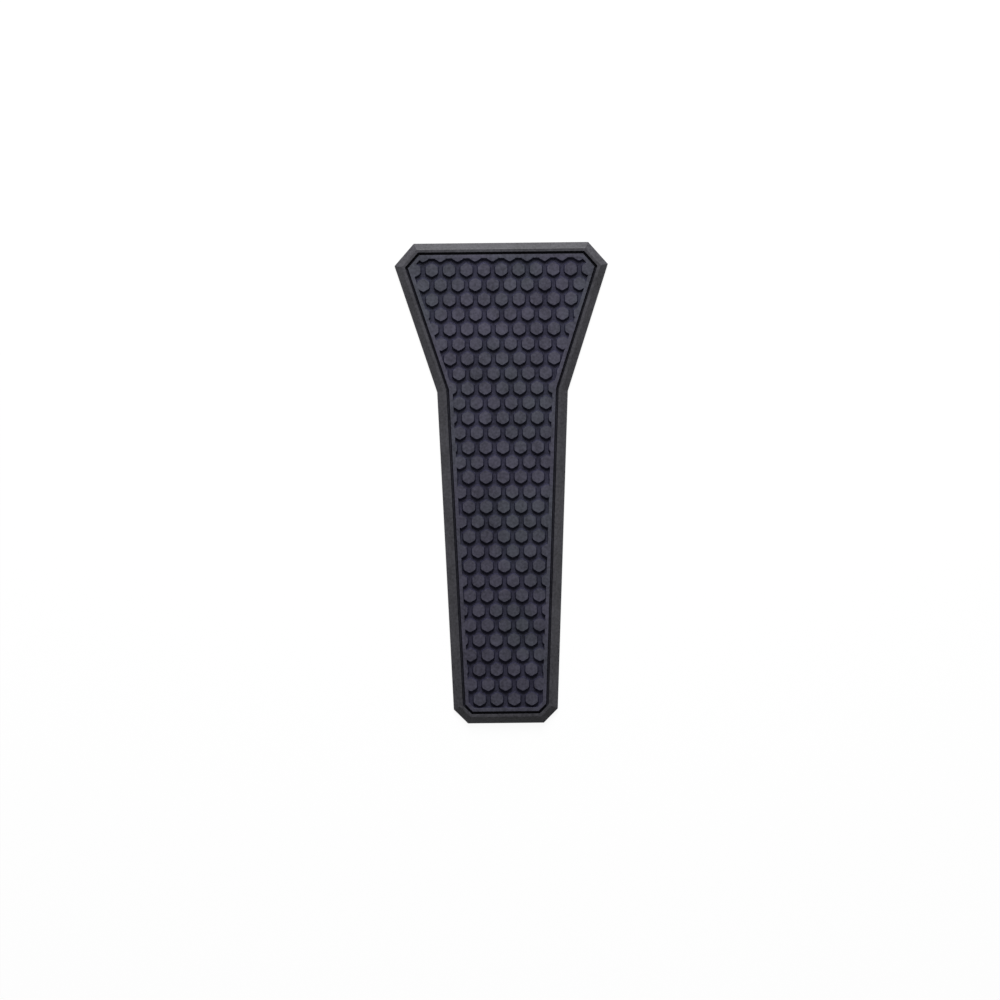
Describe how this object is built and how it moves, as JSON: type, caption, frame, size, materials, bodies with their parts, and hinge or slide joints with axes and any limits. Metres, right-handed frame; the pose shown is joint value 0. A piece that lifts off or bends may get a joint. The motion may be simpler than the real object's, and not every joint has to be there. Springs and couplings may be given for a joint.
{
  "type": "motorcycle tank pad",
  "caption": "Tapered self-adhesive rubber pad for a motorcycle fuel tank: bevelled rim, narrow groove and flat lip round a honeycomb field of raised hexagonal studs, with a flat plain back.",
  "frame": {"origin": "on the back, at the middle of the pad's length and width", "axes": "+Y along the pad towards its wide end, +Z out of the back towards the studs, X across"},
  "size_m": [0.08, 0.18, 0.003],
  "materials": {
    "moulded_rubber": "matt moulded, fine grain"
  },
  "bodies": {
    "root": {"tank_pad": "moulded_rubber"}
  },
  "joints": []
}
